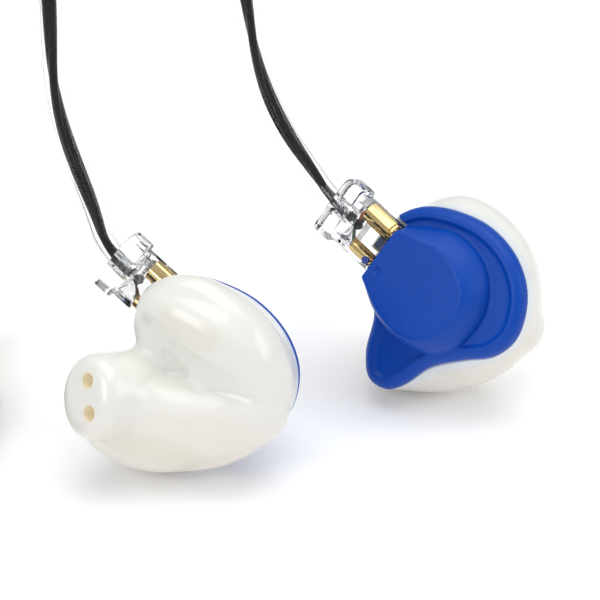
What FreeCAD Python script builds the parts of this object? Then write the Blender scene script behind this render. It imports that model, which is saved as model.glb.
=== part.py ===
"""A pair of custom in-ear monitors with clear two-pin plugs and a detachable cable.

Each earpiece is drawn once, in an ear frame in millimetres: +X towards the back of the
head, +Y up, +Z into the ear, with the faceplate's glue line at Z = 0. The left earpiece
is the mirror image of the right one. Both are then turned and set down on z = 0.
"""
import FreeCAD, Part
import math
import os

V = FreeCAD.Vector
Turn = FreeCAD.Rotation
X_AXIS = V(1, 0, 0)
Y_AXIS = V(0, 1, 0)
Z_AXIS = V(0, 0, 1)
ORIGIN = V(0, 0, 0)

# How each earpiece stands on the table: angles in degrees, place of its ear frame's origin.
STANDS = {
    "right": {"turn": -21.0, "lean": 10.6, "roll": 6.0, "spot": V(-13.14, -8.94, 13.17)},
    "left": {"turn": -33.7, "lean": 25.7, "roll": 16.0, "spot": V(18.36, 4.51, 15.97)},
}

# Faceplate and shell.
PLATE_T = 2.0
BOSS_TOP = -5.5
SHELL_WALL = 1.3
CHAMBER_R = 5.3
CHAMBER_FLOOR = -4.3
CHAMBER_AT = V(0.2, 0.8, 0)
BORE_R = 1.05
BORE_SPLIT = 2.1
BORE_FREE = 2.5
BORE_UP = V(-0.28, 0.96, 0)
TUBE_R = 1.2
TUBE_BORE = 0.6
CANAL_BASE = V(-6.6, -2.9, 5.0)
CANAL_AXIS = V(-0.39, 0.27, 0.88).normalize()
CANAL_LENGTH = 12.2
# Half-width and half-height of the canal stem at shares of its length.
CANAL_RINGS = [(0.0, 6.4, 6.8), (0.45, 5.6, 6.2), (0.72, 5.0, 5.7), (0.88, 4.5, 5.2),
               (0.96, 3.8, 4.6), (1.0, 2.8, 3.5)]
BORE_OFFSET = V(1.1, 0.1, 0)

# Two-pin plug and its socket; the plug slides out along PLUG_AXIS.
PLUG_AXIS = V(-0.766, 0.643, 0).normalize()
PLUG_CROSS = V(0.643, 0.766, 0).normalize()
PLUG_FACE = V(-7.03, 6.63, -3.8)
PLUG_GAP = 0.12
PLUG_WIDE = 7.6
PLUG_LONG = 7.6
PLUG_THICK = 3.4
GRIP_WIDE = 8.8
GRIP_LONG = 3.0
GRIP_THICK = 4.8
PIN_SIDE = 2.45
PIN_REACH = 4.4
BLOCK_DEEP = 5.4
BLOCK_WIDE = 7.0
BLOCK_THICK = 2.5
FIT_GAP = 0.04
PLUG_END = 10.2
BARREL_START = 1.0
WELL = (4.3, 7.2)
WELL_WIDE = 5.4
WELL_THICK = 2.4
KEY_LONG = 1.8
KEY_WIDE = 1.7
KEY_THICK = 0.9
KNOT_AT = 6.0
KNOT_R = 1.05
PINS = {
    "large": {"side": 1, "pin_r": 0.65, "neck_r": 1.0, "barrel_r": 1.4, "barrel_long": 4.3},
    "small": {"side": -1, "pin_r": 0.45, "neck_r": 0.7, "barrel_r": 0.95, "barrel_long": 3.4},
}

# Outlines in the ear frame, clockwise from the corner above the plug.
PLATE_EDGE = [(-7.2, 11.3), (-3.3, 12.6), (1.5, 12.0), (6.8, 9.7), (10.7, 5.6), (12.3, 0.5),
              (11.0, -4.9), (7.5, -7.7), (2.8, -8.3), (-2.2, -9.3), (-6.0, -11.6), (-8.9, -12.4),
              (-11.5, -10.8), (-11.9, -7.0), (-10.7, -2.5), (-10.9, 1.6), (-10.8, 5.2), (-9.4, 8.9)]
BOSS_EDGE = [(-4.7, 9.7), (-0.8, 10.0), (3.6, 8.8), (6.8, 5.6), (8.05, 1.0), (7.1, -3.3),
             (4.1, -6.3), (0.0, -7.45), (-3.9, -6.4), (-7.7, -3.3), (-10.3, 0.7), (-12.0, 4.6),
             (-11.6, 8.6), (-8.3, 10.6)]
BODY_LEVELS = [
    (3.0, [(-7.4, 11.6), (-3.3, 13.6), (1.5, 13.7), (6.8, 11.2), (10.9, 7.0), (12.6, 1.5),
           (11.9, -4.0), (9.4, -8.2), (4.4, -10.9), (-0.8, -12.0), (-5.4, -12.6), (-9.4, -12.4),
           (-12.6, -10.2), (-13.6, -6.4), (-12.6, -2.3), (-11.1, 1.2), (-10.7, 4.8), (-9.6, 8.6)]),
    (6.0, [(-6.9, 11.7), (-3.0, 14.2), (1.5, 14.2), (6.4, 11.6), (10.2, 7.4), (11.9, 2.0),
           (11.4, -3.6), (9.0, -8.0), (4.4, -11.2), (-0.8, -12.6), (-5.6, -13.0), (-9.8, -12.3),
           (-13.0, -10.0), (-14.4, -6.3), (-13.3, -2.3), (-10.9, 0.9), (-10.0, 4.4), (-9.0, 8.4)]),
    (8.6, [(-5.6, 10.2), (-2.6, 12.6), (1.4, 12.4), (5.4, 10.0), (8.4, 6.4), (9.9, 1.8),
           (9.4, -3.2), (7.2, -7.2), (3.4, -10.2), (-0.9, -11.6), (-5.4, -12.0), (-9.4, -11.2),
           (-12.2, -9.2), (-13.4, -6.0), (-12.4, -2.6), (-9.8, 0.4), (-8.4, 3.6), (-7.4, 7.4)]),
    (10.4, [(-4.0, 7.2), (-2.0, 9.2), (1.0, 9.0), (3.6, 7.2), (5.4, 4.4), (6.2, 1.2),
            (5.6, -2.4), (4.0, -5.4), (1.6, -7.8), (-1.4, -9.2), (-5.0, -9.8), (-8.4, -9.2),
            (-10.6, -7.6), (-11.2, -5.4), (-10.2, -3.0), (-8.0, -0.8), (-6.4, 2.0), (-5.4, 5.0)]),
]

# Cable: a 2 mm branch to each ear inside a clear ear guide, then a 2.2 mm main cable.
CORD_R = 1.0
MAIN_R = 1.1
GUIDE_R = 1.45
GUIDE_BORE = 1.12
GUIDE_FROM = 9.3
BRANCH_COIL = (V(-64.5, 14.0, 0), 7.0, 13.0, 4.2)
MAIN_COIL = (V(-64.5, -14.2, 0), 7.6, 14.3, 8.8)
BRANCH_X = (-80.9, -83.1)
SLIDER_AT = V(-82.0, 8.5, 2.0)
SLIDER_LONG = 8.0
SLIDER_WIDE = 6.4
SLIDER_HIGH = 4.0
SPLIT_AT = V(-82.0, -8.5, 2.2)
SPLIT_LONG = 9.0
SPLIT_WIDE = 6.0
SPLIT_HIGH = 4.4
JACK_AT = V(-46.6, -15.5, 3.0)
JACK_R = 1.75
JACK_BARREL_R = 3.0
JACK_RELIEF = 7.0
JACK_BARREL = 14.0

# Corner points of the cable's stretches that are not coiled, each from its earpiece onwards.
RISE = {
    "right": [(-27.3, 2.95, 24.7), (-28.8, 4.8, 29.3), (-31.1, 6.8, 34.8), (-33.0, 8.6, 40.3),
              (-34.1, 10.3, 46.0), (-34.3, 11.9, 51.9), (-34.4, 13.8, 59.2), (-38.2, 16.4, 64.6),
              (-44.4, 19.6, 65.6), (-49.8, 22.0, 62.6), (-52.8, 23.3, 56.4), (-53.8, 23.6, 48.6),
              (-53.9, 23.5, 40.0), (-53.6, 23.3, 31.4), (-53.0, 23.1, 23.4), (-53.0, 23.1, 15.5)],
    "left": [(2.6, 15.7, 26.0), (0.3, 17.5, 28.8), (-3.2, 19.4, 33.5), (-5.9, 21.3, 38.7),
             (-7.7, 23.2, 44.5), (-8.8, 25.3, 51.1), (-9.9, 27.6, 58.0), (-13.5, 29.4, 63.8),
             (-19.9, 30.3, 66.6), (-27.8, 30.4, 67.2), (-36.0, 29.9, 66.2), (-43.2, 29.2, 62.8),
             (-48.8, 28.5, 57.2), (-52.2, 27.8, 49.8), (-53.8, 27.2, 41.6), (-54.2, 26.9, 33.0),
             (-53.6, 26.7, 24.0), (-53.6, 26.7, 15.5)],
}
GUIDE_POINTS = {"right": 13, "left": 15}
LEAD = {
    "right": [(-53.0, 23.1, 15.5), (-53.0, 23.1, 10.7), (-53.95, 23.1, 6.4), (-56.65, 23.0, 2.9),
              (-60.6, 23.0, 1.0), (-64.4, 23.0, 1.0)],
    "left": [(-53.6, 26.7, 15.5), (-53.6, 26.7, 10.7), (-54.7, 26.6, 6.3), (-57.5, 26.2, 2.9),
             (-61.2, 25.6, 1.0), (-64.6, 25.2, 1.0)],
}
TAIL = {
    "right": [(-72.5, 22.9, 2.2), (-77.0, 21.6, 1.4), (-80.2, 18.4, 1.0), (-80.9, 13.4, 1.0),
              (-80.9, -7.5, 1.0)],
    "left": [(-73.0, 25.1, 2.2), (-78.7, 24.1, 1.4), (-82.3, 20.0, 1.0), (-83.1, 14.2, 1.0),
             (-83.1, -7.5, 1.0)],
}
MAIN_LEAD = [(-82.0, -10.5, 1.1), (-82.0, -17.0, 1.1), (-80.2, -22.8, 1.1), (-76.0, -27.0, 1.1),
             (-70.4, -29.0, 1.1), (-65.0, -28.2, 1.1), (-61.2, -27.0, 1.1)]
MAIN_TAIL = [(-60.0, -26.6, 7.6), (-54.5, -27.6, 6.6), (-49.6, -25.2, 4.6), (-46.6, -20.6, 3.0),
             (-46.6, -11.0, 3.0)]


def closed_wire(points, height):
    """A smooth closed curve through flat points, at one height."""
    curve = Part.BSplineCurve()
    curve.interpolate([V(x, y, height) for x, y in points], PeriodicFlag=True)
    return Part.Wire([curve.toShape()])


def inset(points, distance):
    """The same clockwise outline, moved inwards along its own normals."""
    moved = []
    count = len(points)
    for index, (x, y) in enumerate(points):
        before = points[index - 1]
        after = points[(index + 1) % count]
        along = V(after[0] - before[0], after[1] - before[1], 0).normalize()
        moved.append((x + along.y * distance, y - along.x * distance))
    return moved


def loft(levels):
    """A solid through flat outlines, each given as (height, points)."""
    return Part.makeLoft([closed_wire(points, height) for height, points in levels], True, False)


def oriented_box(centre, x_dir, y_dir, size):
    """A box with its own axes, centred on a point."""
    z_dir = x_dir.cross(y_dir)
    box = Part.makeBox(size[0], size[1], size[2], V(-size[0] / 2, -size[1] / 2, -size[2] / 2))
    frame = FreeCAD.Matrix(x_dir.x, y_dir.x, z_dir.x, centre.x,
                           x_dir.y, y_dir.y, z_dir.y, centre.y,
                           x_dir.z, y_dir.z, z_dir.z, centre.z, 0, 0, 0, 1)
    box.Placement = FreeCAD.Placement(frame)
    return box


def rounded_box(centre, x_dir, y_dir, size, radius):
    """A box whose edges along its first axis are rounded."""
    box = oriented_box(centre, x_dir, y_dir, size)
    edges = [edge for edge in box.Edges if abs(edge.tangentAt(0).dot(x_dir)) > 0.9]
    return box.makeFillet(radius, edges)


def rod(start, direction, radius, length):
    return Part.makeCylinder(radius, length, start, direction)


def tube_path(points):
    """Straight runs joined by tangent arcs as large as the runs allow, and the arcs' radii."""
    edges = []
    radii = []
    here = points[0]
    for before, corner, after in zip(points, points[1:], points[2:]):
        run_in = corner - before
        run_out = after - corner
        half_turn = run_in.getAngle(run_out) / 2
        trim = 0.45 * min(run_in.Length, run_out.Length)
        radii.append(trim / math.tan(half_turn))
        start = corner - run_in.normalize() * trim
        end = corner + run_out.normalize() * trim
        centre = corner + (run_out - run_in).normalize() * (radii[-1] / math.cos(half_turn))
        middle = centre + (corner - centre).normalize() * radii[-1]
        edges.append(Part.LineSegment(here, start).toShape())
        edges.append(Part.Arc(start, middle, end).toShape())
        here = end
    edges.append(Part.LineSegment(here, points[-1]).toShape())
    return Part.Wire(edges), radii


def swept_tube(points, radius, inner=0.0):
    """A round tube or solid cord along a route."""
    path, radii = tube_path(points)
    direction = points[1] - points[0]
    rods = []
    for size in [radius] + ([inner] if inner else []):
        ring = Part.Wire([Part.makeCircle(size, points[0], direction)])
        rods.append(path.makePipeShell([ring], True, True))
    body = rods[0] if len(rods) == 1 else rods[0].cut(rods[1])
    section = math.pi * (radius ** 2 - inner ** 2)
    return body, radii, path.Length, body.Volume / (section * path.Length)


def stand_turn(side):
    """The rotation from the ear frame to how the earpiece stands on the table."""
    stand = STANDS[side]
    leaned = Turn(Z_AXIS, stand["turn"]) * Turn(X_AXIS, 90 - stand["lean"])
    return leaned * Turn(Z_AXIS, stand["roll"])


def stand_up(shape, side):
    """Moves a shape from the ear frame to its place on the table."""
    if side == "left":
        shape = shape.mirror(ORIGIN, Z_AXIS)
    placed = shape.copy()
    place = FreeCAD.Placement(STANDS[side]["spot"], stand_turn(side))
    placed.Placement = place * placed.Placement
    return placed


def place_point(point, side):
    """The same move for one point."""
    flip = -1 if side == "left" else 1
    return STANDS[side]["spot"] + stand_turn(side).multVec(V(point.x, point.y, point.z * flip))


def save(name, shape):
    """Writes one node; a list of separate solids becomes one compound."""
    if isinstance(shape, list):
        shape = Part.makeCompound(shape)
    if not shape.isValid():
        print("NOT VALID", name)
    shape.exportStep("parts/" + name + ".step")
    print(name, "solids", len(shape.Solids), "volume", round(shape.Volume, 2))
    return shape


# Earpiece -----------------------------------------------------------------------------

def canal_outer():
    """The ear canal stem: ellipses that shrink towards a rounded tip."""
    side = (X_AXIS - CANAL_AXIS * CANAL_AXIS.x).normalize()
    rise = CANAL_AXIS.cross(side)
    wires = []
    for along, wide, high in CANAL_RINGS:
        centre = CANAL_BASE + CANAL_AXIS * (CANAL_LENGTH * along)
        ring = []
        for step in range(12):
            angle = 2 * math.pi * step / 12
            ring.append(centre + side * (wide * math.cos(angle)) + rise * (high * math.sin(angle)))
        curve = Part.BSplineCurve()
        curve.interpolate(ring, PeriodicFlag=True)
        wires.append(Part.Wire([curve.toShape()]))
    return Part.makeLoft(wires, True, False)


def bore_line(number):
    """Mouth of one sound bore and the direction that leads inwards."""
    up = (BORE_UP - CANAL_AXIS * BORE_UP.dot(CANAL_AXIS)).normalize()
    tip = CANAL_BASE + CANAL_AXIS * CANAL_LENGTH + BORE_OFFSET
    return tip + up * (BORE_SPLIT if number == 0 else -BORE_SPLIT), CANAL_AXIS * -1


def shell():
    """Hollow body with the canal stem and its two sound bores."""
    outer = loft([(0.0, PLATE_EDGE)] + BODY_LEVELS)
    hollow = [(-0.5, inset(PLATE_EDGE, SHELL_WALL + 0.4)), (0.0, inset(PLATE_EDGE, SHELL_WALL + 0.4))]
    for height, points in BODY_LEVELS[:3]:
        hollow.append((height - 0.9, inset(points, SHELL_WALL + 0.5)))
    body = outer.fuse(canal_outer()).cut(loft(hollow))
    for number in range(2):
        mouth, inward = bore_line(number)
        body = body.cut(rod(mouth - inward * 2, inward, BORE_R, BORE_FREE + 2))
        channel = sound_route(number)
        body = body.cut(swept_tube(channel, TUBE_R + 0.03)[0])
    return body


def faceplate():
    """Plate with a rounded rim, the raised chamber, and the pocket for the socket block."""
    rim = [(0.0, 0.0), (-0.9, 0.05), (-1.6, 0.45), (-PLATE_T, 1.3)]
    plate = loft([(height, inset(PLATE_EDGE, step)) for height, step in rim])
    rise = [(-1.4, -0.3), (-2.2, 0.0), (-3.6, 0.7), (-4.9, 1.5), (BOSS_TOP, 2.6)]
    boss = loft([(height, inset(BOSS_EDGE, step)) for height, step in rise])
    body = plate.fuse(boss)
    front = oriented_box(PLUG_FACE + PLUG_AXIS * 5, PLUG_AXIS, PLUG_CROSS, (10, 30, 20))
    body = body.cut(front)
    chamber = rod(CHAMBER_AT + V(0, 0, CHAMBER_FLOOR), Z_AXIS, CHAMBER_R, 10)
    pocket = oriented_box(PLUG_FACE - PLUG_AXIS * (BLOCK_DEEP / 2 - 1), PLUG_AXIS, PLUG_CROSS,
                          (BLOCK_DEEP + 2, BLOCK_WIDE, BLOCK_THICK))
    return body.cut(chamber).cut(pocket)


def pin_point(kind, out):
    """A point on a pin's axis, at a distance out of the socket's face."""
    return PLUG_FACE + PLUG_CROSS * (PIN_SIDE * PINS[kind]["side"]) + PLUG_AXIS * out


def socket_block():
    block = oriented_box(PLUG_FACE - PLUG_AXIS * (BLOCK_DEEP / 2), PLUG_AXIS, PLUG_CROSS,
                         (BLOCK_DEEP, BLOCK_WIDE - 0.06, BLOCK_THICK - 0.06))
    for kind, pin in PINS.items():
        block = block.cut(rod(pin_point(kind, 1), PLUG_AXIS * -1, pin["pin_r"] + 0.34, BLOCK_DEEP + 2))
    return block.fuse(polarity_key(0))


def contact(kind):
    """A gold tube that the plug's pin runs in, closed by a solder tail at its inner end."""
    pin = PINS[kind]
    wall = pin["pin_r"] + 0.32
    tube = rod(pin_point(kind, 0), PLUG_AXIS * -1, wall, BLOCK_DEEP)
    tube = tube.cut(rod(pin_point(kind, 1), PLUG_AXIS * -1, pin["pin_r"] + FIT_GAP, PIN_REACH + 1.3))
    tail = rod(pin_point(kind, -BLOCK_DEEP), PLUG_AXIS * -1, 0.3, 0.9)
    return tube.fuse(tail)


# Works inside the shell -----------------------------------------------------------------

DRIVERS = [
    {"at": V(1.6, 5.2, 3.4), "size": (6.0, 3.6, 2.6)},
    {"at": V(3.4, -2.6, 3.0), "size": (8.4, 6.0, 3.6)},
]
INLAY_T = 0.25
INLAY_CORNER = 0.8
INLAYS = [
    {"at": V(0.4, 7.9, 5.0), "along": V(0.94, -0.34, 0).normalize(), "long": 8.4, "wide": 2.6},
    {"at": V(-3.2, -7.2, 6.3), "along": V(0.95, -0.31, 0).normalize(), "long": 9.4, "wide": 3.0},
]
BOARD = {"at": V(0.4, 0.8, -1.7), "size": (7.4, 6.0, 0.5)}


def driver(spec):
    """A balanced-armature can with a short sound spout towards the canal."""
    x, y, z = spec["size"]
    can = rounded_box(spec["at"], X_AXIS, Y_AXIS, spec["size"], 0.6)
    spout = rod(spec["at"] - X_AXIS * (x / 2), X_AXIS * -1, 0.55, 0.9)
    return can.fuse(spout)


def sound_route(number):
    """Corner points of a sound tube, from its bore to its driver's spout."""
    mouth, inward = bore_line(number)
    bore_end = mouth + inward * (CANAL_LENGTH - 3.2)
    spec = DRIVERS[number]
    spout = spec["at"] - V(spec["size"][0] / 2 + 0.06, 0, 0)
    first = spout - V(1.9, 0, 0)
    return [mouth + inward * BORE_FREE, bore_end, (bore_end + first) * 0.5 + V(-0.5, 0, -0.35),
            first, spout]


def sound_tube(number):
    """A soft tube from a driver's spout into its sound bore."""
    return swept_tube(sound_route(number), TUBE_R, TUBE_BORE)[0]


def damper(number):
    mouth, inward = bore_line(number)
    return rod(mouth + inward * (BORE_FREE + 1.5), inward, 0.58, 1.6)


def board_parts():
    """Two capacitors, three resistors and their solder pads on the crossover board."""
    top = BOARD["at"] + V(0, 0, BOARD["size"][2] / 2)
    blocks = []
    for x, y, size in [(-2.2, 1.3, (2.0, 1.25, 0.85)), (-2.2, -1.3, (2.0, 1.25, 0.85)),
                       (0.6, 1.8, (1.6, 0.8, 0.45)), (0.6, 0.3, (1.6, 0.8, 0.45)),
                       (0.6, -1.3, (1.6, 0.8, 0.45))]:
        blocks.append(oriented_box(top + V(x, y, size[2] / 2), X_AXIS, Y_AXIS, size))
    return blocks


def inner_wires():
    """Two enamelled wires from the socket contacts to the crossover board."""
    wires = []
    for kind, pin in PINS.items():
        start = pin_point(kind, -BLOCK_DEEP - 0.95)
        land = BOARD["at"] + V(-3.2, 2.3 * pin["side"], -BOARD["size"][2] / 2)
        bend = start - PLUG_AXIS * 0.8
        route = [start, bend, V(land.x - 0.1, land.y, land.z - 0.9), land]
        wires.append(swept_tube(route, 0.14)[0])
    return wires


def id_inlays():
    """Two blank identification strips set just inside the shell's inner face."""
    body = shell()
    strips = []
    for strip in INLAYS:
        size = (INLAY_T, strip["long"], strip["wide"])
        plain = rounded_box(strip["at"], Z_AXIS, strip["along"], size, INLAY_CORNER)
        strips.append(plain.cut(body))
    return strips


# Plug -------------------------------------------------------------------------------------

def plug_point(out, across=0.0, up=0.0):
    """A point in the plug: out along its axis, across its width, up towards the outside."""
    return PLUG_FACE + PLUG_AXIS * out + PLUG_CROSS * across - Z_AXIS * up


def polarity_key(margin):
    """The tongue between the pins that lets the plug in only one way round."""
    size = (KEY_LONG + margin + 1, KEY_WIDE + 2 * margin, KEY_THICK + 2 * margin)
    return oriented_box(plug_point((KEY_LONG + margin - 1) / 2, 0.2), PLUG_AXIS, PLUG_CROSS, size)


def plug_housing():
    """Clear body with a rounded T-shaped grip, bored for the pins and the cable entry."""
    body = rounded_box(plug_point(PLUG_GAP + PLUG_LONG / 2), PLUG_AXIS, PLUG_CROSS,
                       (PLUG_LONG, PLUG_WIDE, PLUG_THICK), 0.7)
    grip = rounded_box(plug_point(PLUG_END - GRIP_LONG / 2), PLUG_AXIS, PLUG_CROSS,
                       (GRIP_LONG, GRIP_WIDE, GRIP_THICK), 1.1)
    housing = body.fuse(grip).removeSplitter()
    for kind, pin in PINS.items():
        housing = housing.cut(rod(pin_point(kind, -1), PLUG_AXIS, pin["barrel_r"] + 0.03,
                                  BARREL_START + 1 + pin["barrel_long"]))
    well = oriented_box(plug_point((WELL[0] + WELL[1]) / 2), PLUG_AXIS, PLUG_CROSS,
                        (WELL[1] - WELL[0], WELL_WIDE, WELL_THICK))
    entry = rod(plug_point(WELL[0] + 0.5), PLUG_AXIS, GUIDE_R + 0.02, 10)
    housing = housing.cut(entry).cut(well).cut(polarity_key(0.15))
    return housing.cut(side_marker(0.02))


def plug_pin(kind):
    """Gold pin: the thin nose runs in the contact, the neck and barrel sit in the plug."""
    pin = PINS[kind]
    nose = rod(pin_point(kind, -PIN_REACH), PLUG_AXIS, pin["pin_r"], PIN_REACH + 0.4)
    neck = rod(pin_point(kind, PLUG_GAP + 0.05), PLUG_AXIS, pin["neck_r"], 1.0)
    barrel = rod(pin_point(kind, BARREL_START), PLUG_AXIS, pin["barrel_r"], pin["barrel_long"])
    cup = rod(pin_point(kind, BARREL_START + pin["barrel_long"] - 1.1), PLUG_AXIS,
              pin["barrel_r"] - 0.35, 2)
    return nose.fuse(neck).fuse(barrel).cut(cup)


def side_marker(margin=0.0):
    """A small coloured dot let into the plug's outer face, red for right and blue for left."""
    foot = plug_point(1.0, -2.6, PLUG_THICK / 2 - 0.35 - margin)
    return rod(foot, Z_AXIS * -1, 0.52 + margin, 0.47 + 2 * margin)


def cable_knot():
    return Part.makeSphere(KNOT_R, plug_point(KNOT_AT))


def crimp_rings():
    """Three clear rings that grip the cable behind the knot."""
    rings = []
    for number in range(3):
        centre = plug_point(KNOT_AT + KNOT_R + 0.55 + 0.72 * number)
        rings.append(Part.makeTorus(CORD_R + 0.22, 0.22, centre, PLUG_AXIS))
    return rings


def plug_leads():
    """The two bare leads from the knot into the pins' solder cups."""
    leads = []
    for kind, pin in PINS.items():
        cup = pin_point(kind, BARREL_START + pin["barrel_long"] - 0.6)
        mouth = pin_point(kind, BARREL_START + pin["barrel_long"] + 0.45)
        knot_side = plug_point(KNOT_AT, (KNOT_R + 0.02) * pin["side"])
        leads.append(swept_tube([cup, mouth, knot_side], 0.22)[0])
    return leads


# Cable --------------------------------------------------------------------------------------

def ring_solid(centre, inner, outer, height):
    """The outer shape of a flat coil: one closed ring with rounded edges."""
    ring = Part.makeCylinder(outer, height, centre).cut(Part.makeCylinder(inner, height, centre))
    return ring.makeFillet(CORD_R * 0.8, [edge for edge in ring.Edges if len(edge.Vertexes) == 1])


def report_tube(name, points, radius, inner=0.0):
    """Sweeps one stretch and prints its bend radii, its length and its filled share."""
    body, radii, length, fill = swept_tube(points, radius, inner)
    tightest = ", ".join("%.1f" % bend for bend in radii)
    print("%s length %.1f fill %.4f radii %s" % (name, length, fill, tightest))
    return body


def chin_slider():
    """A rounded toggle that slides along both branches and gathers them."""
    body = rounded_box(SLIDER_AT, Y_AXIS, X_AXIS, (SLIDER_LONG, SLIDER_WIDE, SLIDER_HIGH), 1.6)
    for x in BRANCH_X:
        body = body.cut(rod(V(x, SLIDER_AT.y - 20, CORD_R), Y_AXIS, CORD_R + FIT_GAP, 40))
    return body


def y_split():
    """The moulding where two branches become the main cable."""
    centre = V(sum(BRANCH_X) / 2, SPLIT_AT.y, SPLIT_AT.z)
    body = rounded_box(centre, Y_AXIS, X_AXIS, (SPLIT_LONG, SPLIT_WIDE, SPLIT_HIGH), 1.8)
    for x in BRANCH_X:
        body = body.cut(rod(V(x, SPLIT_AT.y, CORD_R), Y_AXIS, CORD_R + 0.01, 20))
    return body.cut(rod(V(centre.x, SPLIT_AT.y, MAIN_R), V(0, -1, 0), MAIN_R + 0.01, 20))


def jack_parts():
    """A 3.5 mm three-pole plug lying along +Y, as separate turned pieces."""
    here = JACK_AT
    along = Y_AXIS
    relief = Part.makeCone(MAIN_R + 0.5, JACK_BARREL_R - 0.7, JACK_RELIEF, here, along)
    relief = relief.cut(rod(here, along, MAIN_R + 0.01, JACK_RELIEF - 1.5))
    barrel = rod(here + along * JACK_RELIEF, along, JACK_BARREL_R, JACK_BARREL)
    barrel = barrel.makeFillet(0.4, [edge for edge in barrel.Edges if len(edge.Vertexes) == 1])
    start = here + along * (JACK_RELIEF + JACK_BARREL)
    sleeve = rod(start, along, JACK_R, 5.4)
    ring = rod(start + along * 6.1, along, JACK_R, 2.3)
    tip_start = start + along * 9.1
    cone = Part.makeCone(JACK_R, 1.15, 2.2, tip_start + along * 0.7, along)
    nose = Part.makeCone(1.55, 0.45, 1.3, tip_start + along * 3.5, along)
    waist = Part.makeCone(1.15, 1.55, 0.6, tip_start + along * 2.9, along)
    tip = rod(tip_start, along, JACK_R, 0.7).fuse(cone).fuse(waist).fuse(nose)
    bands = [rod(start + along * 5.4, along, JACK_R, 0.7),
             rod(start + along * 8.4, along, JACK_R, 0.7)]
    return {"jack_relief": relief, "jack_barrel": barrel, "jack_sleeve": sleeve,
            "jack_ring": ring, "jack_tip": tip, "jack_bands": Part.makeCompound(bands)}


def cable_ties():
    """One soft tie round each coil, on the side away from the earpieces."""
    ties = []
    for centre, inner, outer, height in [BRANCH_COIL, MAIN_COIL]:
        middle = centre + V((inner + outer) / 2, 0, height / 2)
        size = (3.0, outer - inner + 0.8, height + 0.6)
        tie = oriented_box(middle + V(0, 0, 0.3), Y_AXIS, X_AXIS, size)
        hole = oriented_box(middle, Y_AXIS, X_AXIS, (5.0, outer - inner + 0.1, height + 0.02))
        ties.append(tie.cut(hole))
    return ties


def ear_nodes(side):
    """All pieces of one earpiece and its plug, in the ear frame."""
    return {
        "shell": shell(), "faceplate": faceplate(), "socket_block": socket_block(),
        "contact_large": contact("large"), "contact_small": contact("small"),
        "low_driver": driver(DRIVERS[1]), "high_driver": driver(DRIVERS[0]),
        "high_tube": sound_tube(0), "low_tube": sound_tube(1),
        "sound_dampers": [damper(0), damper(1)],
        "crossover_board": oriented_box(BOARD["at"], X_AXIS, Y_AXIS, BOARD["size"]),
        "board_parts": board_parts(), "inner_wires": inner_wires(), "id_inlays": id_inlays(),
        "plug_housing": plug_housing(), "pin_large": plug_pin("large"),
        "pin_small": plug_pin("small"), "side_marker": side_marker(),
        "cable_knot": cable_knot(), "crimp_rings": crimp_rings(), "plug_leads": plug_leads(),
    }


def cable_nodes():
    """The guides, branches, coils and jack, where they lie on the table."""
    nodes = {}
    for side in ["right", "left"]:
        exit_point = place_point(plug_point(KNOT_AT + KNOT_R), side)
        route = [exit_point] + [V(*point) for point in RISE[side]]
        nodes[side + "_branch"] = report_tube(side + "_branch", route, CORD_R)
        sleeve = report_tube(side + "_ear_guide", route[:GUIDE_POINTS[side]], GUIDE_R, GUIDE_BORE)
        before = place_point(plug_point(KNOT_AT), side)
        trimmed = place_point(plug_point(GUIDE_FROM), side) - before
        nodes[side + "_ear_guide"] = sleeve.cut(rod(before, trimmed, GUIDE_R * 2, trimmed.Length))
        lead = [V(*point) for point in LEAD[side]]
        tail = [V(*point) for point in TAIL[side]]
        nodes[side + "_branch_run"] = [report_tube(side + "_lead", lead, CORD_R),
                                       report_tube(side + "_tail", tail, CORD_R)]
    entry = [V(*point) for point in MAIN_LEAD]
    leave = [V(*point) for point in MAIN_TAIL]
    nodes["main_run"] = [report_tube("main_lead", entry, MAIN_R),
                         report_tube("main_tail", leave, MAIN_R)]
    nodes["branch_coil"] = ring_solid(*BRANCH_COIL)
    nodes["main_coil"] = ring_solid(*MAIN_COIL)
    nodes["cable_ties"] = cable_ties()
    nodes["chin_slider"] = chin_slider()
    nodes["y_split"] = y_split()
    nodes.update(jack_parts())
    return nodes


def main():
    os.makedirs("parts", exist_ok=True)
    for side in STANDS:
        for name, shape in ear_nodes(side).items():
            if isinstance(shape, list):
                shape = Part.makeCompound(shape)
            save(side + "_" + name, stand_up(shape, side))
    for name, shape in cable_nodes().items():
        save(name, shape)


main()
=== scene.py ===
"""A pair of custom in-ear monitors with clear two-pin plugs, ear guides and a coiled cable."""
import math

import bpy
from mathutils import Matrix, Vector


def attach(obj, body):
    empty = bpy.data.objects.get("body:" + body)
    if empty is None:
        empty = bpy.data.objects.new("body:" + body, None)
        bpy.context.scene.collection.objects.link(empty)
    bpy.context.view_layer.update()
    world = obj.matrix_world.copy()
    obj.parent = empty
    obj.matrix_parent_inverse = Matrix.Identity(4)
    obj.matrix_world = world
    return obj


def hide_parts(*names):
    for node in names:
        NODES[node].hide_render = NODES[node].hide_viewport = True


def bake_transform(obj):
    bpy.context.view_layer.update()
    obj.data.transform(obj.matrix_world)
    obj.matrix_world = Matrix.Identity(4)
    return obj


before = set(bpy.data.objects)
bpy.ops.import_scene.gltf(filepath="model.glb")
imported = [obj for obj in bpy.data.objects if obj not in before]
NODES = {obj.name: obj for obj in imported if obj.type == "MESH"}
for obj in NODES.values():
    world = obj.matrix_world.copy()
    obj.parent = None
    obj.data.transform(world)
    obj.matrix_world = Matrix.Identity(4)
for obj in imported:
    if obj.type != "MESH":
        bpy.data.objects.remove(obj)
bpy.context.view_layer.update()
MM = 0.001
SIDES = ["right", "left"]

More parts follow.
